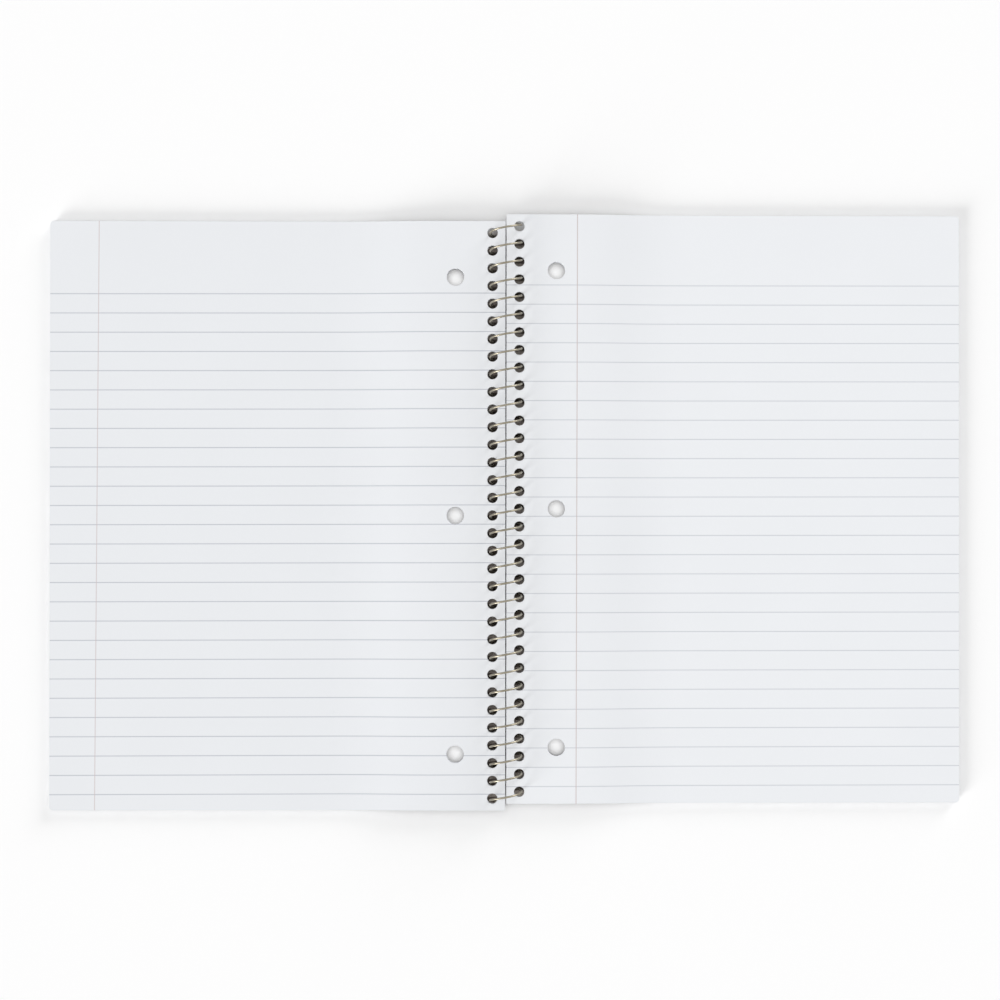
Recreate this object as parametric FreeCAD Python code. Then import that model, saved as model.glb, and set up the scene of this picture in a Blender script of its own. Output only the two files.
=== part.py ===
import FreeCAD, Part
import math
import os

from FreeCAD import Vector

# An open spiral notebook, lying flat and seen from above, in millimetres.
# The origin lies on the table under the coil's axis, halfway along the coil.
# X points to the right-hand pages, Y to the tops of the pages and Z up.

# Sheets of ruled paper, 8 1/8 by 10 1/2 inches
SHEET_WIDTH = 206.0
SHEET_HEIGHT = 266.7
CORNER_RADIUS = 1.6
SHEETS_PER_SIDE = 35
SHEET_THICKNESS = 0.075

# Card covers, cut and punched like the sheets
COVER_THICKNESS = 0.4
COVER_PLAY = 0.05

# The row of small holes along the spine, and the three binder holes beside it
COIL_PITCH = 8.0
COIL_HOLE_END_MARGIN = 4.5
WIRE_CLEARANCE = 0.4
PUNCH_SIDES = 8
BINDER_HOLE_COUNT = 3
BINDER_HOLE_SPACING = 107.95
BINDER_HOLE_RADIUS = 3.97
BINDER_HOLE_FROM_AXIS = 22.9

# The wire coil: one round wire, wound as a right-handed spiral about the Y direction
COIL_RADIUS = 7.05
WIRE_DIAMETER = 0.9
WIRE_SIDES = 6
CHORDS_PER_TURN = 18
COIL_END_CHORDS = 7
END_BEND_RADIUS = 1.2
END_BEND_CHORDS = 4
END_STUB = 2.0

# How the open leaves lie: flat beside the coil, then bent down on to the table
SPINE_GAP = 0.7
LEAF_BELOW_AXIS = 1.5
BINDER_HOLE_LAND = 1.2
BEND_RUN = 50.0

# One leaf is a cover with half of the sheets on it
PAGES_THICKNESS = SHEETS_PER_SIDE * SHEET_THICKNESS
PAGES_BASE = COVER_THICKNESS + COVER_PLAY
LEAF_THICKNESS = PAGES_BASE + PAGES_THICKNESS

# The hexagon drawn for the wire has the area of its round section
WIRE_CORNER = WIRE_DIAMETER / 2 * math.sqrt(2 * math.pi / (WIRE_SIDES * math.sin(2 * math.pi / WIRE_SIDES)))
MITRE_CORNER = WIRE_CORNER / math.cos(math.pi / CHORDS_PER_TURN)
AXIS_Z = COIL_RADIUS + MITRE_CORNER

# Where the wire passes the upper and the lower face of a leaf
PASS_TOP = math.acos(-LEAF_BELOW_AXIS / COIL_RADIUS)
PASS_BOTTOM = math.acos(-(LEAF_BELOW_AXIS + LEAF_THICKNESS) / COIL_RADIUS)
PASS_MIDDLE = (PASS_TOP + PASS_BOTTOM) / 2
COIL_HOLE_X = COIL_RADIUS * (math.sin(PASS_TOP) + math.sin(PASS_BOTTOM)) / 2

# Closing the book turns the coil a quarter turn in the leaves. Each half of the book therefore lies
# off the middle, so that the wire stays as far from the holes' centres when shut as when open.
STAGGER = COIL_PITCH * (PASS_MIDDLE / (2 * math.pi) - 1 / 8)

# A coil hole leaves the wire its clearance at both faces of the leaf, open and shut
WIRE_WANDER = max(
    math.hypot(COIL_RADIUS * math.sin(angle) - COIL_HOLE_X, COIL_PITCH * (angle / (2 * math.pi) - turned) - STAGGER)
    for angle in (PASS_TOP, PASS_BOTTOM)
    for turned in (0, 1 / 4)
)
COIL_HOLE_RADIUS = WIRE_WANDER + MITRE_CORNER + WIRE_CLEARANCE
COIL_HOLE_COUNT = int((SHEET_HEIGHT - 2 * COIL_HOLE_END_MARGIN) / COIL_PITCH) + 1
COIL_HOLE_SPAN = (COIL_HOLE_COUNT - 1) * COIL_PITCH

# The bend between the raised strip at the coil and the part that lies on the table
LEAF_LIFT = AXIS_Z - LEAF_BELOW_AXIS - LEAF_THICKNESS
BEND_START = BINDER_HOLE_FROM_AXIS + BINDER_HOLE_RADIUS + BINDER_HOLE_LAND
BEND_SLOPE = 2 * math.atan(LEAF_LIFT / BEND_RUN)
BEND_RADIUS = BEND_RUN / (2 * math.sin(BEND_SLOPE))


def on_arc(centre_x, centre_z, radius, angle):
    """A point on a bend, at an angle from straight above its centre."""
    return Vector(centre_x + radius * math.sin(angle), 0, centre_z + radius * math.cos(angle))


def leaf_line(height, inner_x, outer_x):
    """The section line of a surface that lies at one height in the leaf, from the coil outwards."""
    upper_radius = BEND_RADIUS - LEAF_THICKNESS / 2 + height
    lower_radius = BEND_RADIUS + LEAF_THICKNESS / 2 - height
    upper_z = LEAF_LIFT + height - upper_radius
    lower_z = height + lower_radius
    bend_end = BEND_START + BEND_RUN
    raised = on_arc(BEND_START, upper_z, upper_radius, 0)
    middle = on_arc(BEND_START, upper_z, upper_radius, BEND_SLOPE)
    landed = on_arc(bend_end, lower_z, -lower_radius, 0)
    return [
        Part.LineSegment(Vector(inner_x, 0, LEAF_LIFT + height), raised).toShape(),
        Part.Arc(raised, on_arc(BEND_START, upper_z, upper_radius, BEND_SLOPE / 2), middle).toShape(),
        Part.Arc(middle, on_arc(bend_end, lower_z, -lower_radius, BEND_SLOPE / 2), landed).toShape(),
        Part.LineSegment(landed, Vector(outer_x, 0, height)).toShape(),
    ]


def bent_slab(base, top):
    """A slab between two heights in the leaf, long enough for every sheet outline."""
    inner_x = 0
    outer_x = SPINE_GAP + SHEET_WIDTH
    lower = leaf_line(base, inner_x, outer_x)
    upper = leaf_line(top, inner_x, outer_x)
    inner_end = Part.LineSegment(Vector(inner_x, 0, LEAF_LIFT + base), Vector(inner_x, 0, LEAF_LIFT + top)).toShape()
    outer_end = Part.LineSegment(Vector(outer_x, 0, base), Vector(outer_x, 0, top)).toShape()
    outline = Part.Wire(Part.__sortEdges__(lower + upper + [inner_end, outer_end]))
    slab = Part.Face(outline).extrude(Vector(0, 2 * SHEET_HEIGHT, 0))
    slab.translate(Vector(0, STAGGER - SHEET_HEIGHT, 0))
    return slab


def sheet_outline():
    """The outline of a sheet in plan, square at the coil and rounded at its outer corners."""
    left = SPINE_GAP / 2
    right = left + SHEET_WIDTH
    bottom = STAGGER - SHEET_HEIGHT / 2
    top = STAGGER + SHEET_HEIGHT / 2
    rounding = CORNER_RADIUS
    corner = rounding * math.cos(math.pi / 4)
    low_centre = Vector(right - rounding, bottom + rounding, 0)
    high_centre = Vector(right - rounding, top - rounding, 0)
    edges = [
        Part.LineSegment(Vector(left, bottom, 0), low_centre - Vector(0, rounding, 0)).toShape(),
        Part.Arc(
            low_centre - Vector(0, rounding, 0),
            low_centre + Vector(corner, -corner, 0),
            low_centre + Vector(rounding, 0, 0),
        ).toShape(),
        Part.LineSegment(low_centre + Vector(rounding, 0, 0), high_centre + Vector(rounding, 0, 0)).toShape(),
        Part.Arc(
            high_centre + Vector(rounding, 0, 0),
            high_centre + Vector(corner, corner, 0),
            high_centre + Vector(0, rounding, 0),
        ).toShape(),
        Part.LineSegment(high_centre + Vector(0, rounding, 0), Vector(left, top, 0)).toShape(),
        Part.LineSegment(Vector(left, top, 0), Vector(left, bottom, 0)).toShape(),
    ]
    return Part.Wire(edges)


def punch(x, y):
    """One small hole along the spine, drawn with flats that touch its circle."""
    reach = COIL_HOLE_RADIUS / math.cos(math.pi / PUNCH_SIDES)
    corners = []
    for side in range(PUNCH_SIDES + 1):
        angle = 2 * math.pi * (side + 0.5) / PUNCH_SIDES
        corners.append(Vector(x + reach * math.cos(angle), y + reach * math.sin(angle), 0))
    return Part.makePolygon(corners)


def hole_outlines():
    """The outlines of all the holes in a sheet."""
    holes = []
    for index in range(COIL_HOLE_COUNT):
        holes.append(punch(COIL_HOLE_X, STAGGER - COIL_HOLE_SPAN / 2 + index * COIL_PITCH))
    for index in range(BINDER_HOLE_COUNT):
        along = (index - (BINDER_HOLE_COUNT - 1) / 2) * BINDER_HOLE_SPACING
        centre = Vector(BINDER_HOLE_FROM_AXIS, STAGGER + along, 0)
        holes.append(Part.Wire(Part.makeCircle(BINDER_HOLE_RADIUS, centre)))
    return holes


def punched_prism():
    """The punched sheet outline, drawn out upwards past the highest leaf."""
    sheet = Part.Face([sheet_outline()] + hole_outlines(), "Part::FaceMakerCheese")
    prism = sheet.extrude(Vector(0, 0, 2 * AXIS_Z))
    prism.translate(Vector(0, 0, -AXIS_Z / 2))
    return prism


def leaf_piece(base, top):
    """A punched sheet, card or block of sheets that lies bent on the right-hand side."""
    return bent_slab(base, top).common(punched_prism()).Solids[0]


def on_left(piece):
    """The same piece on the left-hand side, half a turn about the vertical."""
    turned = piece.copy()
    turned.rotate(Vector(0, 0, 0), Vector(0, 0, 1), 180)
    return turned


def coil_point(chord):
    """A point of the wire's middle line, counted in chords from the top of the first turn."""
    angle = 2 * math.pi * chord / CHORDS_PER_TURN
    along = COIL_PITCH * chord / CHORDS_PER_TURN - COIL_HOLE_SPAN / 2
    return Vector(COIL_RADIUS * math.sin(angle), along, AXIS_Z + COIL_RADIUS * math.cos(angle))


def bent_end(last, before):
    """The points that turn the wire's end inwards, along the coil, so that it can't unwind."""
    along = (last - before).normalize()
    inward = Vector(0, -1, 0)
    across = (inward - along * inward.dot(along)).normalize()
    centre = last + across * END_BEND_RADIUS
    points = []
    for step in range(1, END_BEND_CHORDS + 1):
        angle = math.pi / 2 * step / END_BEND_CHORDS
        back = across * (END_BEND_RADIUS * math.cos(angle))
        points.append(centre - back + along * (END_BEND_RADIUS * math.sin(angle)))
    points.append(points[-1] + across * END_STUB)
    return points


def coil_route():
    """The wire's middle line. Its two ends are alike, half a turn apart about the vertical."""
    last_chord = (COIL_HOLE_COUNT - 1) * CHORDS_PER_TURN + COIL_END_CHORDS
    turns = [coil_point(chord) for chord in range(-COIL_END_CHORDS, last_chord + 1)]
    tail = bent_end(turns[-1], turns[-2])
    head = [Vector(-point.x, -point.y, point.z) for point in reversed(tail)]
    return head + turns + tail


def wire_section(start, towards):
    """The wire's section at its first end."""
    along = (towards - start).normalize()
    side = along.cross(Vector(0, 0, 1)).normalize()
    up = side.cross(along)
    corners = []
    for index in range(WIRE_SIDES + 1):
        angle = 2 * math.pi * (index + 0.5) / WIRE_SIDES
        offset = up * math.cos(angle) + side * math.sin(angle)
        corners.append(start + offset * WIRE_CORNER)
    return Part.makePolygon(corners)


def wire_coil():
    """The wire, swept along its route with mitred chords."""
    route = coil_route()
    sweep = Part.BRepOffsetAPI.MakePipeShell(Part.makePolygon(route))
    mitred = 1
    sweep.setTransitionMode(mitred)
    sweep.add(wire_section(route[0], route[1]), False, False)
    sweep.build()
    sweep.makeSolid()
    return sweep.shape()


def main():
    os.makedirs("parts", exist_ok=True)
    cover = leaf_piece(0, COVER_THICKNESS)
    pages = leaf_piece(PAGES_BASE, LEAF_THICKNESS)
    nodes = {
        "back_cover": cover,
        "right_pages": pages,
        "front_cover": on_left(cover),
        "left_pages": on_left(pages),
        "wire_coil": wire_coil(),
    }
    for name, shape in nodes.items():
        box = shape.BoundBox
        print(name, shape.ShapeType, "valid", shape.isValid(), "volume", round(shape.Volume, 1), "box", box)
        shape.exportStep("parts/" + name + ".step")
    print("coil holes", COIL_HOLE_COUNT, "radius", round(COIL_HOLE_RADIUS, 3), "from the axis", round(COIL_HOLE_X, 3))
    print("stagger", round(STAGGER, 3), "lift", round(LEAF_LIFT, 3), "bend radius", round(BEND_RADIUS, 1))


main()
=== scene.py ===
# %% [markdown]
# # An open spiral notebook
#
# The notebook lies open and flat, and is seen from straight above: two blocks of white
# ruled paper, two rows of small holes beside the spine, and one pale wire that winds
# through all of them. Below the paper, out of sight, lie two black card covers.
#
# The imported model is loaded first. It is the frame that the scene is built around: every
# size and place comes from it, and nothing in it is moved.

# %% Load the frame
import math

import bpy
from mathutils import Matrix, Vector


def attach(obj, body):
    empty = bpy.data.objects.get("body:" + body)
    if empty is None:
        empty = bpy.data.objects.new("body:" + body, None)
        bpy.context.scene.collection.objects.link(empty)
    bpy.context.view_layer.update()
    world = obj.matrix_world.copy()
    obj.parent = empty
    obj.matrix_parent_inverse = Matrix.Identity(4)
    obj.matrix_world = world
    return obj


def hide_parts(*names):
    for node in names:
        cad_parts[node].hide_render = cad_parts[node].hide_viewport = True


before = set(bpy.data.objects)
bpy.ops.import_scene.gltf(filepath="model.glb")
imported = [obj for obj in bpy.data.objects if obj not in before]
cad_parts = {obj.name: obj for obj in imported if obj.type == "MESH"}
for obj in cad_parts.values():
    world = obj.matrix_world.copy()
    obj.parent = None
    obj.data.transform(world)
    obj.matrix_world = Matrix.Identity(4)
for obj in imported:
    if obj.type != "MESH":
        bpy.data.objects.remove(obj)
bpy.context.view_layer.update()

print("nodes:", sorted(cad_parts))

# %% [markdown]
# ## The notebook's sizes
#
# Blender works in metres, so each size is written in millimetres and scaled once. They
# are the sizes of the solid model, because every piece made here has to sit where that
# model has it. The one that is new is the sheet's own thickness: the solid has one block
# for 35 sheets, and here each sheet is made, a hair thinner than its share of the block.

# %% Sizes
MM = 0.001

SHEET_WIDTH = 206.0 * MM
SHEET_HEIGHT = 266.7 * MM
CORNER_RADIUS = 1.6 * MM
SHEETS_PER_SIDE = 35
SHEET_PITCH = 0.075 * MM
SHEET_THICKNESS = 0.062 * MM
COVER_THICKNESS = 0.4 * MM
PAGES_BASE = 0.45 * MM

COIL_HOLES = 33
COIL_PITCH = 8.0 * MM
COIL_HOLE_RADIUS = 2.421 * MM
COIL_HOLE_X = 6.126 * MM
BINDER_HOLES = 3
BINDER_SPACING = 107.95 * MM
BINDER_HOLE_RADIUS = 3.97 * MM
BINDER_HOLE_X = 22.9 * MM

COIL_RADIUS = 7.05 * MM
WIRE_RADIUS = 0.45 * MM
COIL_AXIS_Z = 7.55243 * MM
END_BEND_RADIUS = 1.2 * MM
END_STUB = 2.0 * MM

SPINE_GAP = 0.7 * MM
STAGGER = 1.586 * MM
LEAF_THICKNESS = PAGES_BASE + SHEETS_PER_SIDE * SHEET_PITCH
LEAF_LIFT = COIL_AXIS_Z - 1.5 * MM - LEAF_THICKNESS
BEND_START = 28.07 * MM
BEND_RUN = 50.0 * MM
BEND_SLOPE = 2 * math.atan(LEAF_LIFT / BEND_RUN)
BEND_RADIUS = BEND_RUN / (2 * math.sin(BEND_SLOPE))

print("leaf thickness", round(LEAF_THICKNESS / MM, 3), "mm")
print("lifted at the coil by", round(LEAF_LIFT / MM, 3), "mm")

# %% [markdown]
# ## The camera
#
# The picture is a view from straight above. A long lens a little under a metre away keeps
# the sides of the pages nearly parallel. They do taper by a hair: the left page is a
# little larger than the right one and the bottom a little wider than the top, so the
# lens points a fraction of a degree towards the upper right. What the tilt would move in
# the picture, the shift moves back. The book also leans a little, which is a small roll.

# %% Camera
PIXEL = 0.454 * MM
CAMERA_HEIGHT = 940 * MM
SENSOR = 36.0
FRAME_PIXELS = 1000
SPINE_PIXEL = 505.85
MIDDLE_PIXEL = 512.2
UNDER_LENS = (505.0, 534.0)
TILT_RIGHT = math.radians(0.84)
TILT_UP = math.radians(0.35)
LEAN = math.radians(0.03)

camera_data = bpy.data.cameras.new("overhead_camera")
camera_data.sensor_width = SENSOR
focal_pixels = (CAMERA_HEIGHT - LEAF_THICKNESS) / PIXEL
aim = (
    UNDER_LENS[0] + focal_pixels * math.tan(TILT_RIGHT),
    UNDER_LENS[1] - focal_pixels * math.tan(TILT_UP),
)
camera_data.lens = SENSOR * focal_pixels / FRAME_PIXELS
camera_data.shift_x = (FRAME_PIXELS / 2 - aim[0]) / FRAME_PIXELS
camera_data.shift_y = (aim[1] - FRAME_PIXELS / 2) / FRAME_PIXELS
camera = bpy.data.objects.new("overhead_camera", camera_data)
camera.location = (
    (UNDER_LENS[0] - SPINE_PIXEL) * PIXEL,
    (MIDDLE_PIXEL - UNDER_LENS[1]) * PIXEL,
    CAMERA_HEIGHT,
)
camera.rotation_euler = (TILT_UP, -TILT_RIGHT, LEAN)
bpy.context.scene.collection.objects.link(camera)
bpy.context.scene.camera = camera
print("lens", round(camera_data.lens, 1), "mm at", round(CAMERA_HEIGHT / MM), "mm, aimed at", aim)

# %% [markdown]
# ## Small helpers for node trees
#
# Both the shapes and the finishes are made with node trees. Five short helpers keep
# their making readable: one starts a group with named inputs and outputs, one feeds a
# socket with a value or a link, one puts a node in a tree, and the last two do a sum
# and put three numbers together as a vector.

# %% Helpers for node trees
FLOAT, WHOLE, VECTOR = "NodeSocketFloat", "NodeSocketInt", "NodeSocketVector"
SHAPE, FINISH = "NodeSocketGeometry", "NodeSocketMaterial"


def new_group(name, kind, wanted, given):
    """A node group with named inputs, each with a type and a value, and named outputs."""
    tree = bpy.data.node_groups.new(name, kind)
    for label, socket_type, value in wanted:
        socket = tree.interface.new_socket(name=label, in_out="INPUT", socket_type=socket_type)
        if value is not None:
            socket.default_value = value
    for label, socket_type in given:
        tree.interface.new_socket(name=label, in_out="OUTPUT", socket_type=socket_type)
    start = tree.nodes.new("NodeGroupInput")
    end = tree.nodes.new("NodeGroupOutput")
    return tree, start.outputs, end.inputs


def feed(tree, socket, value):
    """Links a socket to another socket, or sets its value."""
    if isinstance(value, bpy.types.NodeSocket):
        tree.links.new(value, socket)
    else:
        socket.default_value = value


def put(tree, kind, feeds=None, **settings):
    """Puts a node in a tree, with its settings and what feeds its inputs."""
    node = tree.nodes.new(kind)
    for setting, value in settings.items():
        setattr(node, setting, value)
    for name, value in (feeds or {}).items():
        feed(tree, node.inputs[name], value)
    return node


def sum_of(tree, operation, *values):
    """One step of arithmetic between sockets or numbers."""
    node = put(tree, "ShaderNodeMath", dict(enumerate(values)), operation=operation)
    return node.outputs[0]


def place(tree, x, y, z):
    """A vector from three sockets or numbers."""
    return put(tree, "ShaderNodeCombineXYZ", {"X": x, "Y": y, "Z": z}).outputs[0]


# %% [markdown]
# ## Paper, card and the marks on them
#
# Writing paper is matt and very nearly plain. Close up it is a felt of short fibres, with
# faint clouds where the pulp lay thicker. Black card is the same felt, pressed smoother
# and dyed. Both therefore use one group, which puts out the fibres and the clouds as
# masks, and each material mixes them in at its own strength.

# %% The fibre grain of paper and card
FIBRE_STRETCH = (1.0, 0.35, 1.0)


def fibre_group():
    """Fine fibres and broad clouds, as masks that change over the surface."""
    tree, given, out = new_group(
        "paper_fibres",
        "ShaderNodeTree",
        [("Where", VECTOR, None), ("Fibre Scale", FLOAT, 1500.0), ("Cloud Scale", FLOAT, 30.0)],
        [("Fibres", FLOAT), ("Clouds", FLOAT)],
    )
    stretched = put(
        tree, "ShaderNodeVectorMath", {0: given["Where"], 1: FIBRE_STRETCH}, operation="MULTIPLY"
    )
    fibres = put(
        tree,
        "ShaderNodeTexNoise",
        {"Vector": stretched.outputs[0], "Scale": given["Fibre Scale"], "Detail": 5.0, "Roughness": 0.65},
    )
    clouds = put(
        tree,
        "ShaderNodeTexNoise",
        {"Vector": given["Where"], "Scale": given["Cloud Scale"], "Detail": 3.0, "Roughness": 0.5},
    )
    tree.links.new(fibres.outputs[0], out["Fibres"])
    tree.links.new(clouds.outputs[0], out["Clouds"])
    return tree


FIBRES = fibre_group()
print("group made:", FIBRES.name)

# %% [markdown]
# ## The ruling
#
# Each page has 27 pale blue-grey rules, 8.73 mm apart, and one pale pink margin line down
# its left side. They are printed, so they are colour and not shape. A rule is wherever
# the distance to the nearest whole step down the page is under half of the line's width.
# Cheap paper is never printed quite square to its edges, which the two slants give.

# %% The ruling as masks
LINE_SOFTNESS = 0.04 * MM


def faded(tree, distance, start, end):
    """One up to a first distance, nothing past a second, and a soft fall between."""
    ramp = put(
        tree,
        "ShaderNodeMapRange",
        {"Value": distance, "From Min": start, "From Max": end, "To Min": 1.0, "To Max": 0.0},
        interpolation_type="SMOOTHSTEP",
    )
    return ramp.outputs[0]


def line_mask(tree, distance, width):
    """One on a line of this width, nothing beside it, with a soft edge between."""
    half = sum_of(tree, "MULTIPLY", width, 0.5)
    start = sum_of(tree, "SUBTRACT", half, LINE_SOFTNESS)
    end = sum_of(tree, "ADD", half, LINE_SOFTNESS)
    return faded(tree, distance, start, end)


def ruling_group():
    """The rules and the margin line of one page, as two masks."""
    tree, given, out = new_group(
        "page_ruling",
        "ShaderNodeTree",
        [
            ("Where", VECTOR, None),
            ("First Rule", FLOAT, 0.1),
            ("Rule Spacing", FLOAT, 8.733 * MM),
            ("Rules", FLOAT, 27.0),
            ("Rule Width", FLOAT, 0.4 * MM),
            ("Rule Slant", FLOAT, 0.0),
            ("Margin Place", FLOAT, 0.03),
            ("Margin Slant", FLOAT, 0.0),
            ("Margin Width", FLOAT, 0.4 * MM),
        ],
        [("Rule Lines", FLOAT), ("Margin Line", FLOAT)],
    )
    at = put(tree, "ShaderNodeSeparateXYZ", {"Vector": given["Where"]}).outputs
    level = sum_of(tree, "SUBTRACT", at["Y"], sum_of(tree, "MULTIPLY", given["Rule Slant"], at["X"]))
    down = sum_of(tree, "SUBTRACT", given["First Rule"], level)
    steps = sum_of(tree, "DIVIDE", down, given["Rule Spacing"])
    off_rule = sum_of(tree, "MULTIPLY", sum_of(tree, "PINGPONG", steps, 0.5), given["Rule Spacing"])
    after_first = sum_of(tree, "GREATER_THAN", steps, -0.5)
    before_end = sum_of(tree, "LESS_THAN", steps, sum_of(tree, "SUBTRACT", given["Rules"], 0.5))
    on_page = sum_of(tree, "MULTIPLY", after_first, before_end)
    rules = sum_of(tree, "MULTIPLY", line_mask(tree, off_rule, given["Rule Width"]), on_page)
    margin_x = sum_of(tree, "MULTIPLY_ADD", given["Margin Slant"], at["Y"], given["Margin Place"])
    off_margin = sum_of(tree, "ABSOLUTE", sum_of(tree, "SUBTRACT", at["X"], margin_x))
    tree.links.new(rules, out["Rule Lines"])
    tree.links.new(line_mask(tree, off_margin, given["Margin Width"]), out["Margin Line"])
    return tree


RULING = ruling_group()
print("group made:", RULING.name)

# %% [markdown]
# ## Colours
#
# A colour is easiest to read as the 0 to 255 numbers of a paint program, but a shader
# wants the light it sends back, so one helper turns the first into the second.

# %% Colours and material helpers
SRGB_KNEE, SRGB_SLOPE, SRGB_OFFSET, SRGB_POWER = 0.04045, 12.92, 0.055, 2.4


def paint(red, green, blue):
    """A colour from its 0 to 255 numbers."""
    light = []
    for number in (red, green, blue):
        share = number / 255
        if share <= SRGB_KNEE:
            light.append(share / SRGB_SLOPE)
        else:
            light.append(((share + SRGB_OFFSET) / (1 + SRGB_OFFSET)) ** SRGB_POWER)
    return (*light, 1.0)


def new_material(name):
    """A material with one Principled shader, and its tree."""
    material = bpy.data.materials.new(name)
    material.use_nodes = True
    tree = material.node_tree
    tree.nodes.clear()
    shader = tree.nodes.new("ShaderNodeBsdfPrincipled")
    output = tree.nodes.new("ShaderNodeOutputMaterial")
    tree.links.new(shader.outputs["BSDF"], output.inputs["Surface"])
    return material, tree, shader


def mixed(tree, mask, first, second):
    """The first colour where the mask is nothing, and the second where it is one."""
    node = tree.nodes.new("ShaderNodeMix")
    node.data_type = "RGBA"
    feed(tree, node.inputs[0], mask)
    feed(tree, node.inputs[6], first)
    feed(tree, node.inputs[7], second)
    return node.outputs[2]


def grouped(tree, group, feeds):
    """A node group placed in a material, with its own values."""
    node = tree.nodes.new("ShaderNodeGroup")
    node.node_tree = group
    for name, value in feeds.items():
        feed(tree, node.inputs[name], value)
    return node.outputs


def between(tree, value, low, high):
    """A mask from nothing to one, drawn out between two numbers."""
    return put(tree, "ShaderNodeMapRange", {"Value": value, "To Min": low, "To Max": high}).outputs[0]


# %% [markdown]
# ## The paper
#
# The two pages lie in slightly different light, so the left page's white is painted a shade darker than
# the right's: painted shade, not a different paper. The right one was printed a little paler, so each
# also has its own strength of line. The marks go on in the order of the real thing: paper first, then the
# clouds in it, then the rules, and the margin line on top. The fibres also set the roughness and the
# relief.

# %% The paper of each page
RIGHT_WHITE = paint(239, 241, 244)
# The left page's white is painted a shade darker than the right's: painted shade for the light it lies
# in.
LEFT_WHITE_PAINTED_SHADE = paint(236, 238, 241)
CLOUD_SHARE = 0.975
RULE_INK = paint(186, 189, 197)
MARGIN_INK = paint(204, 191, 191)
PAPER_GRAIN = {"Fibre Scale": 1800.0, "Cloud Scale": 26.0}
FIBRES_IN_CLOUDS = 0.6
PAPER_ROUGHNESS = (0.78, 0.94)
PAPER_RELIEF = {"Strength": 0.25, "Distance": 0.02 * MM}
PAPER_GLOSS = 0.25


def page_paper(name, white, rule_strength, margin_strength, ruling):
    """White ruled paper for one side of the book."""
    material, tree, shader = new_material(name)
    cloud = (*(CLOUD_SHARE * part for part in white[:3]), 1.0)
    where = tree.nodes.new("ShaderNodeTexCoord").outputs["Object"]
    felt = grouped(tree, FIBRES, {"Where": where, **PAPER_GRAIN})
    lines = grouped(tree, RULING, {"Where": where, **ruling})
    cloudy = sum_of(tree, "MULTIPLY_ADD", felt["Fibres"], FIBRES_IN_CLOUDS, felt["Clouds"])
    colour = mixed(tree, between(tree, cloudy, 0.0, 1.0), white, cloud)
    rule = sum_of(tree, "MULTIPLY", lines["Rule Lines"], rule_strength)
    colour = mixed(tree, rule, colour, RULE_INK)
    margin = sum_of(tree, "MULTIPLY", lines["Margin Line"], margin_strength)
    colour = mixed(tree, margin, colour, MARGIN_INK)
    tree.links.new(colour, shader.inputs["Base Color"])
    tree.links.new(between(tree, felt["Fibres"], *PAPER_ROUGHNESS), shader.inputs["Roughness"])
    bump = put(tree, "ShaderNodeBump", {"Height": felt["Fibres"], **PAPER_RELIEF})
    tree.links.new(bump.outputs[0], shader.inputs["Normal"])
    shader.inputs["Specular IOR Level"].default_value = PAPER_GLOSS
    return material


RIGHT_PAPER = page_paper(
    "right_page_paper",
    white=RIGHT_WHITE,
    rule_strength=0.64,
    margin_strength=0.95,
    ruling={
        "First Rule": 102.9 * MM,
        "Rule Slant": 0.0013,
        "Margin Place": 32.1 * MM,
        "Margin Slant": 0.0022,
    },
)
LEFT_PAPER = page_paper(
    "left_page_paper",
    white=LEFT_WHITE_PAINTED_SHADE,
    rule_strength=0.88,
    margin_strength=0.74,
    ruling={
        "First Rule": 99.2 * MM,
        "Rule Spacing": 8.72 * MM,
        "Rule Slant": 0.0019,
        "Margin Place": -185.1 * MM,
        "Margin Slant": 0.0063,
    },
)
print("papers:", RIGHT_PAPER.name, LEFT_PAPER.name)

# %% [markdown]
# ## The black card
#
# The covers are out of sight from above, but they show at the edges from the side and
# when the book is shut. Handled black card is a little shiny, and greyer in soft patches
# where it has been rubbed. The patches are the broad clouds of the fibre group, drawn out
# until only their peaks are left.

# %% The cover card
CARD_BLACK = paint(34, 31, 34)
CARD_RUBBED = paint(58, 55, 58)
CARD_GRAIN = {"Fibre Scale": 1200.0, "Cloud Scale": 40.0}
RUBBED_PLACES = {"From Min": 0.48, "From Max": 0.75, "To Min": 0.0, "To Max": 0.6}
CARD_ROUGHNESS = (0.46, 0.7)
CARD_RELIEF = {"Strength": 0.35, "Distance": 0.03 * MM}
CARD_GLOSS = 0.3


def card():
    """Satin black card with faint rubbed patches."""
    material, tree, shader = new_material("cover_card")
    where = tree.nodes.new("ShaderNodeTexCoord").outputs["Object"]
    felt = grouped(tree, FIBRES, {"Where": where, **CARD_GRAIN})
    rubbed = put(
        tree,
        "ShaderNodeMapRange",
        {"Value": felt["Clouds"], **RUBBED_PLACES},
        interpolation_type="SMOOTHSTEP",
    ).outputs[0]
    speckled = sum_of(tree, "MULTIPLY", rubbed, felt["Fibres"])
    tree.links.new(mixed(tree, speckled, CARD_BLACK, CARD_RUBBED), shader.inputs["Base Color"])
    tree.links.new(between(tree, felt["Fibres"], *CARD_ROUGHNESS), shader.inputs["Roughness"])
    bump = put(tree, "ShaderNodeBump", {"Height": felt["Fibres"], **CARD_RELIEF})
    tree.links.new(bump.outputs[0], shader.inputs["Normal"])
    shader.inputs["Specular IOR Level"].default_value = CARD_GLOSS
    return material


CARD = card()

# %% [markdown]
# ## The plated wire
#
# The wire is drawn steel with a thin, pale champagne plating: metal, fairly bright, not
# polished. Drawing leaves fine scratches along the wire, so the scratch pattern is
# stretched along it. The wire's own length and the way round it come with the mesh, as
# two attributes, because a pattern in plain space would cut across the turns.

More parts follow.
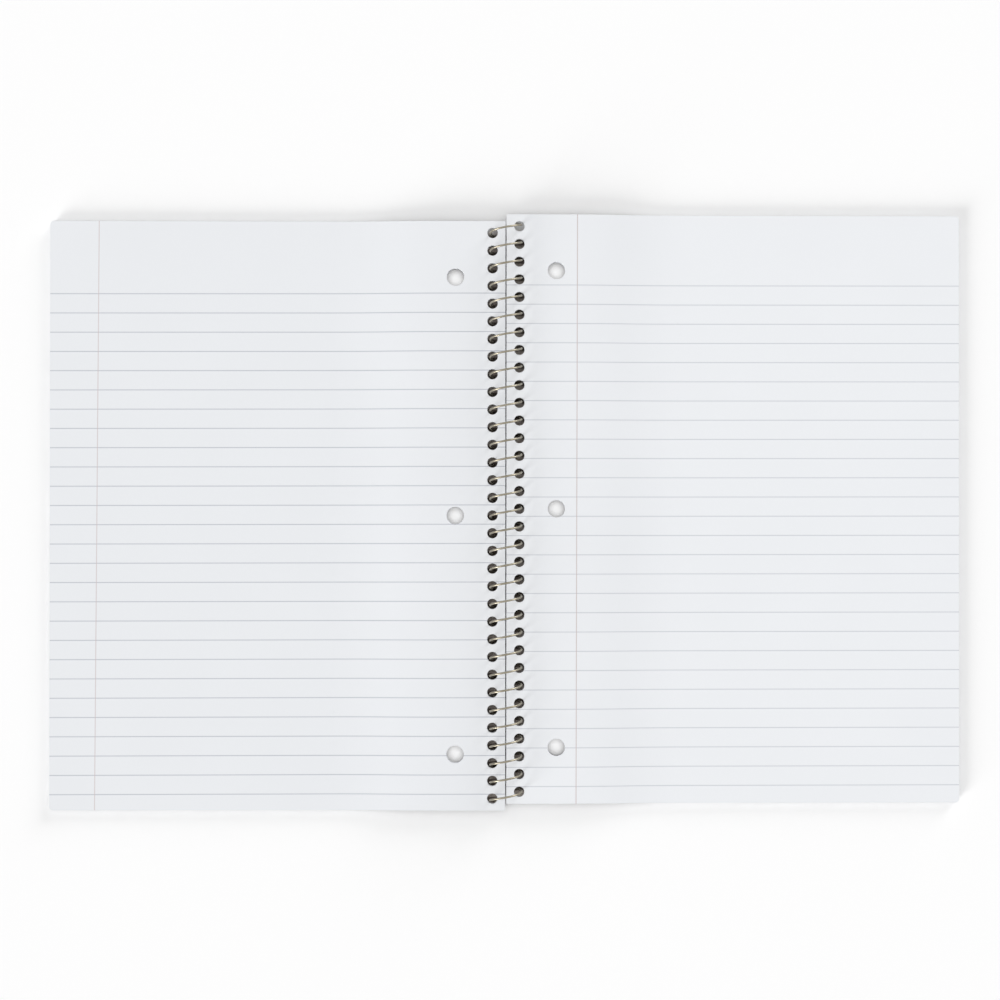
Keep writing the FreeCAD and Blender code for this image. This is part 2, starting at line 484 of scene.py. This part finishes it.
# %% The wire's finish
WIRE_PALE = paint(167, 161, 146)
WIRE_WORN = paint(134, 126, 108)
SCRATCHES_ALONG = 60.0
SCRATCHES_AROUND = 24.0
TARNISH_SCALE = 140.0
WIRE_ROUGHNESS = (0.24, 0.42)
WIRE_RELIEF = {"Strength": 0.15, "Distance": 0.01 * MM}


def plated_wire():
    """Champagne-plated drawn wire."""
    material, tree, shader = new_material("coil_wire")
    along = put(tree, "ShaderNodeAttribute", attribute_name="wire_along").outputs["Fac"]
    around = put(tree, "ShaderNodeAttribute", attribute_name="wire_around").outputs["Fac"]
    along = sum_of(tree, "MULTIPLY", along, SCRATCHES_ALONG)
    around = sum_of(tree, "MULTIPLY", around, SCRATCHES_AROUND)
    track = place(tree, along, around, 0.0)
    scratches = put(tree, "ShaderNodeTexNoise", {"Vector": track, "Scale": 1.0, "Detail": 4.0}).outputs[0]
    where = tree.nodes.new("ShaderNodeTexCoord").outputs["Object"]
    tarnish = put(
        tree, "ShaderNodeTexNoise", {"Vector": where, "Scale": TARNISH_SCALE, "Detail": 3.0}
    ).outputs[0]
    tree.links.new(mixed(tree, tarnish, WIRE_PALE, WIRE_WORN), shader.inputs["Base Color"])
    tree.links.new(between(tree, scratches, *WIRE_ROUGHNESS), shader.inputs["Roughness"])
    bump = put(tree, "ShaderNodeBump", {"Height": scratches, **WIRE_RELIEF})
    tree.links.new(bump.outputs[0], shader.inputs["Normal"])
    shader.inputs["Metallic"].default_value = 1.0
    return material


WIRE = plated_wire()
print("finishes:", CARD.name, WIRE.name)

# %% [markdown]
# ## A punched sheet, and a pile of them
#
# Every sheet in the book is the same: a rectangle with rounded outer corners, 33 small
# holes along the spine and three binder holes. A rule makes it, so geometry nodes do:
#
# - The punched strip beside the coil is an outline and rows of circles, filled between.
# - The bend is a grid, fine enough to curve.
# - The rest of the page is one more outline, with its two outer corners rounded.
#
# The three meet edge to edge and are joined. The flat sheet gets its thickness, is piled
# up as often as asked, each one slipped a tiny way at random as in a real pad, and then
# the whole pile is bent down from the coil on to the table.

# %% The parts of a flat sheet
HOLE_SIDES = 20
BINDER_HOLE_SIDES = 40
BEND_COLUMNS = 25
CORNER_STEPS = 5
WELD = 0.001 * MM


def row_of_holes(tree, count, spacing, radius, x, sides):
    """Circles in a row along Y, centred on the sheet's middle."""
    gaps = sum_of(tree, "SUBTRACT", count, 1.0)
    first = sum_of(tree, "MULTIPLY", sum_of(tree, "MULTIPLY", gaps, spacing), -0.5)
    line = put(
        tree,
        "GeometryNodeMeshLine",
        {
            "Count": count,
            "Start Location": place(tree, x, first, 0.0),
            "Offset": place(tree, 0.0, spacing, 0.0),
        },
    )
    ring = put(tree, "GeometryNodeCurvePrimitiveCircle", {"Resolution": sides, "Radius": radius})
    rings = put(
        tree,
        "GeometryNodeInstanceOnPoints",
        {"Points": line.outputs["Mesh"], "Instance": ring.outputs["Curve"]},
    )
    return put(tree, "GeometryNodeRealizeInstances", {"Geometry": rings.outputs[0]}).outputs[0]


def rectangle(tree, inner_x, outer_x, height):
    """A rectangle's outline between two places on X, and the X of its middle."""
    width = sum_of(tree, "SUBTRACT", outer_x, inner_x)
    middle = sum_of(tree, "MULTIPLY", sum_of(tree, "ADD", outer_x, inner_x), 0.5)
    outline = put(tree, "GeometryNodeCurvePrimitiveQuadrilateral", {"Width": width, "Height": height})
    moved = put(
        tree,
        "GeometryNodeTransform",
        {"Geometry": outline.outputs[0], "Translation": place(tree, middle, 0.0, 0.0)},
    )
    return moved.outputs[0], middle


def joined(tree, *shapes):
    """Several shapes as one."""
    node = tree.nodes.new("GeometryNodeJoinGeometry")
    for shape in shapes:
        tree.links.new(shape, node.inputs[0])
    return node.outputs[0]


def welded(tree, shape):
    """A shape with its doubled points made one."""
    return put(tree, "GeometryNodeMergeByDistance", {"Geometry": shape, "Distance": WELD}).outputs[0]


def here_in(tree):
    """The X, Y and Z of each point of a shape."""
    position = tree.nodes.new("GeometryNodeInputPosition").outputs[0]
    return put(tree, "ShaderNodeSeparateXYZ", {0: position}).outputs


def flat_sheet(tree, given):
    """One punched sheet without thickness."""
    height = given["Sheet Height"]
    outer_x = sum_of(tree, "ADD", given["Inner Edge"], given["Sheet Width"])
    bend_end = sum_of(tree, "ADD", given["Bend Start"], given["Bend Run"])

    strip, _ = rectangle(tree, given["Inner Edge"], given["Bend Start"], height)
    small = row_of_holes(
        tree,
        given["Coil Holes"],
        given["Coil Pitch"],
        given["Coil Hole Radius"],
        given["Coil Row"],
        HOLE_SIDES,
    )
    large = row_of_holes(
        tree,
        given["Binder Holes"],
        given["Binder Spacing"],
        given["Binder Hole Radius"],
        given["Binder Row"],
        BINDER_HOLE_SIDES,
    )
    punched = put(tree, "GeometryNodeFillCurve", {"Curve": joined(tree, strip, small, large)}).outputs[0]

    grid = put(
        tree,
        "GeometryNodeMeshGrid",
        {"Size X": given["Bend Run"], "Size Y": height, "Vertices X": BEND_COLUMNS, "Vertices Y": 2},
    )
    bend_middle = sum_of(tree, "MULTIPLY_ADD", given["Bend Run"], 0.5, given["Bend Start"])
    bend = put(
        tree,
        "GeometryNodeTransform",
        {"Geometry": grid.outputs["Mesh"], "Translation": place(tree, bend_middle, 0.0, 0.0)},
    ).outputs[0]

    page, page_middle = rectangle(tree, bend_end, outer_x, height)
    is_outer = sum_of(tree, "GREATER_THAN", here_in(tree)["X"], page_middle)
    corner = sum_of(tree, "MULTIPLY", is_outer, given["Corner Radius"])
    rounded = put(
        tree,
        "GeometryNodeFilletCurve",
        {"Curve": page, "Count": CORNER_STEPS, "Radius": corner},
        mode="POLY",
    ).outputs[0]
    filled = put(tree, "GeometryNodeFillCurve", {"Curve": rounded}).outputs[0]
    return welded(tree, joined(tree, punched, bend, filled))


# %% Thickness, pile and bend
def thick_sheet(tree, flat, thickness):
    """A closed sheet: the flat one turned over, and its raised copy with the edges between."""
    raised = put(
        tree,
        "GeometryNodeExtrudeMesh",
        {"Mesh": flat, "Offset": (0.0, 0.0, 1.0), "Offset Scale": thickness, "Individual": False},
    )
    underside = put(tree, "GeometryNodeFlipFaces", {"Mesh": flat})
    return welded(tree, joined(tree, raised.outputs["Mesh"], underside.outputs[0]))


def piled(tree, sheet, given):
    """Copies of a sheet, one on another, each slipped a little towards the spine."""
    spots = put(
        tree,
        "GeometryNodeMeshLine",
        {
            "Count": given["Sheets"],
            "Start Location": place(tree, 0.0, 0.0, given["Lowest Sheet"]),
            "Offset": place(tree, 0.0, 0.0, given["Sheet Pitch"]),
        },
    )
    least = sum_of(tree, "MULTIPLY", given["Slip"], -1.0)
    slip = put(
        tree,
        "FunctionNodeRandomValue",
        {0: place(tree, least, least, 0.0), 1: (0.0, 0.0, 0.0), "Seed": given["Seed"]},
        data_type="FLOAT_VECTOR",
    )
    slipped = put(
        tree, "GeometryNodeSetPosition", {"Geometry": spots.outputs[0], "Offset": slip.outputs[0]}
    )
    pile = put(tree, "GeometryNodeInstanceOnPoints", {"Points": slipped.outputs[0], "Instance": sheet})
    return put(tree, "GeometryNodeRealizeInstances", {"Geometry": pile.outputs[0]}).outputs[0]


def arc_drop(tree, across, radius, slope):
    """How far an arc falls away from its tangent, this far across, up to where its slope ends."""
    most = sum_of(tree, "MULTIPLY", radius, sum_of(tree, "SINE", slope))
    held = sum_of(tree, "MINIMUM", sum_of(tree, "MAXIMUM", across, 0.0), most)
    whole = sum_of(tree, "MULTIPLY", radius, radius)
    square = sum_of(tree, "SUBTRACT", whole, sum_of(tree, "MULTIPLY", held, held))
    return sum_of(tree, "SUBTRACT", radius, sum_of(tree, "SQRT", square))


def bent(tree, shape, given):
    """The pile bent from its raised strip down to the table, by two arcs of one slope."""
    here = here_in(tree)
    half_leaf = sum_of(tree, "MULTIPLY", given["Leaf Thickness"], 0.5)
    off_middle = sum_of(tree, "SUBTRACT", here["Z"], half_leaf)
    upper = sum_of(tree, "ADD", given["Bend Radius"], off_middle)
    lower = sum_of(tree, "SUBTRACT", given["Bend Radius"], off_middle)
    slope = given["Bend Slope"]
    fall = arc_drop(tree, sum_of(tree, "SUBTRACT", here["X"], given["Bend Start"]), upper, slope)
    bend_end = sum_of(tree, "ADD", given["Bend Start"], given["Bend Run"])
    rise = arc_drop(tree, sum_of(tree, "SUBTRACT", bend_end, here["X"]), lower, slope)
    flattening = sum_of(tree, "SUBTRACT", 1.0, sum_of(tree, "COSINE", slope))
    highest = sum_of(tree, "MULTIPLY", upper, flattening)
    lift = sum_of(tree, "ADD", rise, sum_of(tree, "SUBTRACT", highest, fall))
    return put(
        tree, "GeometryNodeSetPosition", {"Geometry": shape, "Offset": place(tree, 0.0, 0.0, lift)}
    ).outputs[0]


# %% The whole tree
def sheets_tree():
    """The tree that makes a pile of punched sheets on one side of the coil."""
    tree, given, out = new_group(
        "punched_sheets",
        "GeometryNodeTree",
        [
            ("Geometry", SHAPE, None),
            ("Inner Edge", FLOAT, SPINE_GAP / 2),
            ("Sheet Width", FLOAT, SHEET_WIDTH),
            ("Sheet Height", FLOAT, SHEET_HEIGHT),
            ("Corner Radius", FLOAT, CORNER_RADIUS),
            ("Coil Holes", WHOLE, COIL_HOLES),
            ("Coil Pitch", FLOAT, COIL_PITCH),
            ("Coil Hole Radius", FLOAT, COIL_HOLE_RADIUS),
            ("Coil Row", FLOAT, COIL_HOLE_X),
            ("Binder Holes", WHOLE, BINDER_HOLES),
            ("Binder Spacing", FLOAT, BINDER_SPACING),
            ("Binder Hole Radius", FLOAT, BINDER_HOLE_RADIUS),
            ("Binder Row", FLOAT, BINDER_HOLE_X),
            ("Bend Start", FLOAT, BEND_START),
            ("Bend Run", FLOAT, BEND_RUN),
            ("Bend Radius", FLOAT, BEND_RADIUS),
            ("Bend Slope", FLOAT, BEND_SLOPE),
            ("Leaf Thickness", FLOAT, LEAF_THICKNESS),
            ("Sheets", WHOLE, 1),
            ("Sheet Pitch", FLOAT, SHEET_PITCH),
            ("Sheet Thickness", FLOAT, SHEET_THICKNESS),
            ("Lowest Sheet", FLOAT, 0.0),
            ("Slip", FLOAT, 0.0),
            ("Seed", WHOLE, 1),
            ("Middle", FLOAT, STAGGER),
            ("Turn", FLOAT, 0.0),
            ("Material", FINISH, None),
        ],
        [("Geometry", SHAPE)],
    )
    sheet = thick_sheet(tree, flat_sheet(tree, given), given["Sheet Thickness"])
    pile = bent(tree, piled(tree, sheet, given), given)
    turned = put(
        tree,
        "GeometryNodeTransform",
        {
            "Geometry": pile,
            "Translation": place(tree, 0.0, given["Middle"], 0.0),
            "Rotation": place(tree, 0.0, 0.0, given["Turn"]),
        },
    )
    plain = put(tree, "GeometryNodeRealizeInstances", {"Geometry": turned.outputs[0]})
    finished = put(
        tree, "GeometryNodeSetMaterial", {"Geometry": plain.outputs[0], "Material": given["Material"]}
    )
    tree.links.new(finished.outputs[0], out["Geometry"])
    return tree


SHEETS = sheets_tree()
print("tree made:", SHEETS.name, "with", len(SHEETS.nodes), "nodes")

# %% [markdown]
# ## From a tree to a piece
#
# A tree works on an object's modifier. Its inputs are set by their identifiers, the
# result is copied out as a plain mesh, and the modifier goes, so that what is left is an
# ordinary piece with its place in its mesh.

# %% Run a tree and keep its mesh
def grown(name, tree, values, start):
    """A plain mesh piece from a tree's result, starting from the given curve or mesh."""
    stem = bpy.data.objects.new(name + "_stem", start)
    bpy.context.scene.collection.objects.link(stem)
    modifier = stem.modifiers.new(tree.name, "NODES")
    modifier.node_group = tree
    for socket in tree.interface.items_tree:
        if socket.item_type == "SOCKET" and socket.in_out == "INPUT" and socket.name in values:
            modifier[socket.identifier] = values[socket.name]
    depsgraph = bpy.context.evaluated_depsgraph_get()
    mesh = bpy.data.meshes.new_from_object(
        stem.evaluated_get(depsgraph), preserve_all_data_layers=True, depsgraph=depsgraph
    )
    mesh.name = name
    stem.modifiers.remove(modifier)
    bpy.data.objects.remove(stem)
    piece = bpy.data.objects.new(name, mesh)
    bpy.context.scene.collection.objects.link(piece)
    print(name, "has", sum(len(face.vertices) - 2 for face in mesh.polygons), "triangles")
    return piece


def sheets(name, **values):
    """A pile of sheets or a single card."""
    labelled = {label.replace("_", " "): value for label, value in values.items()}
    return grown(name, SHEETS, labelled, bpy.data.meshes.new(name + "_stem"))


# %% [markdown]
# ## The two halves of the book
#
# Each half is a card, a pile of 34 sheets and the page on top of them. The top page is a
# piece of its own: it is the one that is looked at, so it lies exactly in its place and
# gets the paper's finish at full sharpness. The left half is the right half turned half
# round, which is also how the real one is cut.

# %% Cards, piles and top pages
HALF_TURN = math.pi
PAD_SLIP = 0.14 * MM
TOP_SHEET_Z = PAGES_BASE + (SHEETS_PER_SIDE - 1) * SHEET_PITCH
TO_THE_RIGHT = {"Middle": STAGGER, "Turn": 0.0}
TO_THE_LEFT = {"Middle": -STAGGER, "Turn": HALF_TURN}
CARD_ONLY = {"Sheets": 1, "Sheet_Thickness": COVER_THICKNESS, "Material": CARD}
PILE_OF_34 = {"Sheets": SHEETS_PER_SIDE - 1, "Lowest_Sheet": PAGES_BASE, "Slip": PAD_SLIP}
TOP_PAGE = {"Sheets": 1, "Lowest_Sheet": TOP_SHEET_Z}

back_card = sheets("back_card", **CARD_ONLY, **TO_THE_RIGHT)
front_card = sheets("front_card", **CARD_ONLY, **TO_THE_LEFT)
right_pile = sheets("right_sheets", **PILE_OF_34, **TO_THE_RIGHT, Seed=3, Material=RIGHT_PAPER)
left_pile = sheets("left_sheets", **PILE_OF_34, **TO_THE_LEFT, Seed=8, Material=LEFT_PAPER)
right_top = sheets("right_top_page", **TOP_PAGE, **TO_THE_RIGHT, Material=RIGHT_PAPER)
left_top = sheets("left_top_page", **TOP_PAGE, **TO_THE_LEFT, Material=LEFT_PAPER)

# %% [markdown]
# ## The wire coil
#
# One wire winds 32 times and a bit through both rows of holes. Its middle line is a
# spiral about the Y direction, and at each end the wire is bent inwards along the coil,
# so that it can't unscrew itself. The line is worked out as points, the two ends being
# alike but half a turn apart, and a small tree sweeps a round section along it.

# %% The wire's middle line
STEPS_PER_TURN = 54
END_STEPS = 21
BEND_STEPS = 8


def on_spiral(step):
    """A point of the wire's middle line, counted from the top of the first turn."""
    angle = 2 * math.pi * step / STEPS_PER_TURN
    along = COIL_PITCH * step / STEPS_PER_TURN - (COIL_HOLES - 1) * COIL_PITCH / 2
    return Vector((COIL_RADIUS * math.sin(angle), along, COIL_AXIS_Z + COIL_RADIUS * math.cos(angle)))


def bent_in_end(last, before):
    """The points of the wire's end, bent inwards along the coil."""
    ahead = (last - before).normalized()
    inward = Vector((0, -1, 0))
    across = (inward - ahead * inward.dot(ahead)).normalized()
    centre = last + across * END_BEND_RADIUS
    points = []
    for step in range(1, BEND_STEPS + 1):
        angle = math.pi / 2 * step / BEND_STEPS
        points.append(centre + (ahead * math.sin(angle) - across * math.cos(angle)) * END_BEND_RADIUS)
    points.append(points[-1] + across * END_STUB)
    return points


def wire_line():
    """The whole middle line as a curve."""
    last = (COIL_HOLES - 1) * STEPS_PER_TURN + END_STEPS
    turns = [on_spiral(step) for step in range(-END_STEPS, last + 1)]
    tail = bent_in_end(turns[-1], turns[-2])
    head = [Vector((-point.x, -point.y, point.z)) for point in reversed(tail)]
    points = head + turns + tail
    curve = bpy.data.curves.new("wire_line", "CURVE")
    curve.dimensions = "3D"
    spline = curve.splines.new("POLY")
    spline.points.add(len(points) - 1)
    for slot, point in zip(spline.points, points):
        slot.co = (*point, 1.0)
    length = sum((b - a).length for a, b in zip(points, points[1:]))
    print("wire line:", len(points), "points,", round(length / MM), "mm")
    return curve


# %% The round section swept along it
WIRE_SIDES = 14
FLAT_END_CORNERS = 5


def wire_tree():
    """A tree that sweeps a round section along a line, and notes each point's place on the wire."""
    tree, given, out = new_group(
        "swept_wire",
        "GeometryNodeTree",
        [
            ("Geometry", SHAPE, None),
            ("Wire Radius", FLOAT, WIRE_RADIUS),
            ("Sides", WHOLE, WIRE_SIDES),
            ("Material", FINISH, None),
        ],
        [("Geometry", SHAPE)],
    )
    measured = tree.nodes.new("GeometryNodeSplineParameter").outputs
    line = put(
        tree,
        "GeometryNodeStoreNamedAttribute",
        {"Geometry": given["Geometry"], "Name": "wire_along", "Value": measured["Length"]},
        data_type="FLOAT",
        domain="POINT",
    )
    ring = put(
        tree,
        "GeometryNodeCurvePrimitiveCircle",
        {"Resolution": given["Sides"], "Radius": given["Wire Radius"]},
    )
    section = put(
        tree,
        "GeometryNodeStoreNamedAttribute",
        {"Geometry": ring.outputs["Curve"], "Name": "wire_around", "Value": measured["Factor"]},
        data_type="FLOAT",
        domain="POINT",
    )
    swept = put(
        tree,
        "GeometryNodeCurveToMesh",
        {"Curve": line.outputs[0], "Profile Curve": section.outputs[0], "Fill Caps": True},
    )
    corners = tree.nodes.new("GeometryNodeInputMeshFaceNeighbors").outputs["Vertex Count"]
    is_side = sum_of(tree, "LESS_THAN", corners, FLAT_END_CORNERS)
    smooth = put(
        tree,
        "GeometryNodeSetShadeSmooth",
        {"Geometry": swept.outputs[0], "Selection": is_side, "Shade Smooth": True},
    )
    plain = put(tree, "GeometryNodeRealizeInstances", {"Geometry": smooth.outputs[0]})
    finished = put(
        tree, "GeometryNodeSetMaterial", {"Geometry": plain.outputs[0], "Material": given["Material"]}
    )
    tree.links.new(finished.outputs[0], out["Geometry"])
    return tree


SWEPT_WIRE = wire_tree()
coil = grown("plated_coil", SWEPT_WIRE, {"Material": WIRE}, wire_line())

# %% [markdown]
# ## Each piece joins its body
#
# The book has three moving bodies: the right half, the left half that turns over to shut it, and the
# coil, which turns half as far. Each piece rides on its own and stands for the solid that it shows.

# %% Ride and replace
for piece, body, node, slot_name in (
    (back_card, "right_half", "back_cover", "cover_card"),
    (right_pile, "right_half", "right_pages", "paper"),
    (right_top, "right_half", "right_pages", "paper"),
    (front_card, "left_half", "front_cover", "cover_card"),
    (left_pile, "left_half", "left_pages", "paper"),
    (left_top, "left_half", "left_pages", "paper"),
    (coil, "coil", "wire_coil", "coil_wire"),
):
    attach(piece, body)
    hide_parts(node)
    print(piece.name, "rides on", body, "for", node)

# %% [markdown]
# ## The table and the light
#
# The picture was taken on a plain white ground in soft light from overhead, with a faint
# wide shadow above and to the right. A sky that is brightest overhead gives most of the
# light, and one low, soft sun at the lower left gives the shadow its side. A weaker
# one from the other side leaves a trace of shadow there as well. The ground is all but
# white, so that the shadow shows on it, and only the camera sees the last bit of
# glow that makes the open ground plain white.
#
# On the real book, slipped sheets and the covers' edges block the way through the small holes, so they
# look dark. Here every hole goes straight through, so painted shade lies on the ground right under the
# coil, a dark band where the light would hardly get. The painted shade is lighter at one side of each
# hole. Under the binder holes it is the other way: painted light, a soft glow on the ground, makes the
# holes look bright. Both show only where something lies close above the ground, so they go when a half
# turns away.

# %% Table
TABLE_SIZE = 6.0
TABLE_DROP = 0.1 * MM
TABLE_GLOW = 0.03
GROUND_WHITE = paint(250, 250, 250)
# Painted shade on the ground under the coil: its dark colour, the lighter one at one side of each hole,
# and where it lies.
PAINTED_SHADE_DARK = paint(110, 100, 93)
PAINTED_SHADE_LIGHTER = paint(196, 186, 178)
PAINTED_SHADE_EDGE = (9.0 * MM, 10.5 * MM)
PAINTED_SHADE_END = (124.5 * MM, 130.5 * MM)
PAINTED_SHADE_FULL = 3.5 * MM
PAINTED_SHADE_AT_GAP = 0.55
PAINTED_SHADE_LIGHTER_EDGE = (-0.6 * MM, 0.3 * MM)
# Painted light on the ground under each binder hole: where it lies, how soft its edge is and how bright
# it is.
PAINTED_LIGHT_PLACE = BINDER_HOLE_X
PAINTED_LIGHT_EDGE = (0.5 * MM, 6.5 * MM)
PAINTED_LIGHT_STRENGTH = 0.5
COVER_REACH = 40.0 * MM
OPEN_SHARE = (0.34, 0.48)


def ground_seen(tree):
    """One for the rays that show the ground or the sky itself, to the eye or in the metal."""
    rays = tree.nodes.new("ShaderNodeLightPath").outputs
    to_eye = sum_of(tree, "MAXIMUM", rays["Is Camera Ray"], rays["Is Transmission Ray"])
    return sum_of(tree, "MAXIMUM", to_eye, rays["Is Glossy Ray"])


def covered(tree):
    """One where something lies close above the ground, and nothing in the open."""
    open_share = put(tree, "ShaderNodeAmbientOcclusion", {"Distance": COVER_REACH}).outputs["AO"]
    return faded(tree, open_share, *OPEN_SHARE)


def off_hole(tree, at, spacing):
    """How far along Y the nearest hole is, in a row on this side of the coil."""
    side = sum_of(tree, "SIGN", at["X"])
    off_middle = sum_of(tree, "SUBTRACT", sum_of(tree, "MULTIPLY", at["Y"], side), STAGGER)
    return sum_of(tree, "WRAP", off_middle, spacing / 2, -spacing / 2)


def painted_shade_colour(tree, at):
    """The painted shade's colour, lighter at the inner side of each small hole."""
    lighter_shade = faded(tree, off_hole(tree, at, COIL_PITCH), *PAINTED_SHADE_LIGHTER_EDGE)
    return mixed(tree, lighter_shade, PAINTED_SHADE_DARK, PAINTED_SHADE_LIGHTER)


def painted_binder_light(tree, at, across):
    """A soft round pool of painted light under each binder hole."""
    off_x = sum_of(tree, "SUBTRACT", across, PAINTED_LIGHT_PLACE)
    off = place(tree, off_x, off_hole(tree, at, BINDER_SPACING), 0.0)
    distance = put(tree, "ShaderNodeVectorMath", {0: off}, operation="LENGTH").outputs["Value"]
    return sum_of(tree, "MULTIPLY", faded(tree, distance, *PAINTED_LIGHT_EDGE), PAINTED_LIGHT_STRENGTH)


def painted_shade_mask(tree, across, along):
    """A mask of the painted shade under the coil, weaker right under the gap and at its top end."""
    depth = put(
        tree, "ShaderNodeMapRange", {"Value": across, "From Max": PAINTED_SHADE_FULL, "To Min": PAINTED_SHADE_AT_GAP}
    ).outputs[0]
    inside = sum_of(tree, "MULTIPLY", faded(tree, across, *PAINTED_SHADE_EDGE), faded(tree, along, *PAINTED_SHADE_END))
    return sum_of(tree, "MULTIPLY", inside, depth)


def table_finish():
    """A white ground that keeps shadows, with painted shade under the coil and painted light under the
    binder holes.
    """
    material, tree, shader = new_material("table_ground")
    where = tree.nodes.new("ShaderNodeTexCoord").outputs["Object"]
    at = put(tree, "ShaderNodeSeparateXYZ", {"Vector": where}).outputs
    across = sum_of(tree, "ABSOLUTE", at["X"])
    under = covered(tree)
    # Painted shade under the coil and painted light under the binder holes, only where something lies
    # close above.
    painted_shade = sum_of(tree, "MULTIPLY", painted_shade_mask(tree, across, at["Y"]), under)
    painted_light = sum_of(tree, "MULTIPLY", painted_binder_light(tree, at, across), under)
    tree.links.new(mixed(tree, painted_shade, GROUND_WHITE, painted_shade_colour(tree, at)), shader.inputs["Base Color"])
    shader.inputs["Roughness"].default_value = 1.0
    shader.inputs["Specular IOR Level"].default_value = 0.0
    # The painted shade takes away the ground's glow, and the painted light under the binder holes adds to
    # it.
    glow_with_painted_light_and_shade = sum_of(tree, "MULTIPLY", sum_of(tree, "SUBTRACT", 1.0, painted_shade), TABLE_GLOW)
    glow_with_painted_light_and_shade = sum_of(tree, "MULTIPLY", sum_of(tree, "ADD", glow_with_painted_light_and_shade, painted_light), ground_seen(tree))
    shader.inputs["Emission Color"].default_value = (1.0, 1.0, 1.0, 1.0)
    tree.links.new(glow_with_painted_light_and_shade, shader.inputs["Emission Strength"])
    return material


table_mesh = bpy.data.meshes.new("table_ground")
reach = TABLE_SIZE / 2
table_corners = [(-reach, -reach), (reach, -reach), (reach, reach), (-reach, reach)]
table_mesh.from_pydata([(x, y, -TABLE_DROP) for x, y in table_corners], [], [(0, 1, 2, 3)])
table_mesh.materials.append(table_finish())
table = bpy.data.objects.new("table_ground", table_mesh)
bpy.context.scene.collection.objects.link(table)

# %% [markdown]
# ## The sky and the two suns
#
# The sky could be one plain white, but then the light would reach the book's edges from
# low on every side and leave them no clear shadow. It is a power of the height instead,
# so most of it comes from overhead. The camera and the metal see it as plain white, and
# the two suns are as wide as a lamp's soft box, which keeps their shadows soft.

# %% Sky and suns
SKY_EVEN = 0.2
SKY_OVERHEAD = 1.29
SKY_POWER = 4.0
SUN_WIDTH = math.radians(28)
SUNS = (
    ("soft_sun", 2.62, Vector((-0.68, -0.68, 0.276))),
    ("weak_sun", 1.59, Vector((0.62, 0.735, 0.276))),
)

world = bpy.data.worlds.new("white_sky")
bpy.context.scene.world = world
world.use_nodes = True
sky_tree = world.node_tree
sky = sky_tree.nodes["Background"]
sky.inputs["Color"].default_value = (1.0, 1.0, 1.0, 1.0)
towards = sky_tree.nodes.new("ShaderNodeTexCoord").outputs["Generated"]
height = put(sky_tree, "ShaderNodeSeparateXYZ", {"Vector": towards}).outputs["Z"]
height = sum_of(sky_tree, "MAXIMUM", height, 0.0)
upward = sum_of(sky_tree, "POWER", height, SKY_POWER)
light = sum_of(sky_tree, "MULTIPLY_ADD", upward, SKY_OVERHEAD, SKY_EVEN)
level = put(
    sky_tree, "ShaderNodeMapRange", {"Value": ground_seen(sky_tree), "To Min": light, "To Max": 1.0}
).outputs[0]
sky_tree.links.new(level, sky.inputs["Strength"])

for sun_name, strength, side in SUNS:
    sun_data = bpy.data.lights.new(sun_name, "SUN")
    sun_data.energy = strength
    sun_data.angle = SUN_WIDTH
    sun = bpy.data.objects.new(sun_name, sun_data)
    sun.location = side
    sun.rotation_mode = "QUATERNION"
    sun.rotation_quaternion = (-side).to_track_quat("-Z", "Y")
    bpy.context.scene.collection.objects.link(sun)

bpy.context.scene.view_settings.view_transform = "Standard"
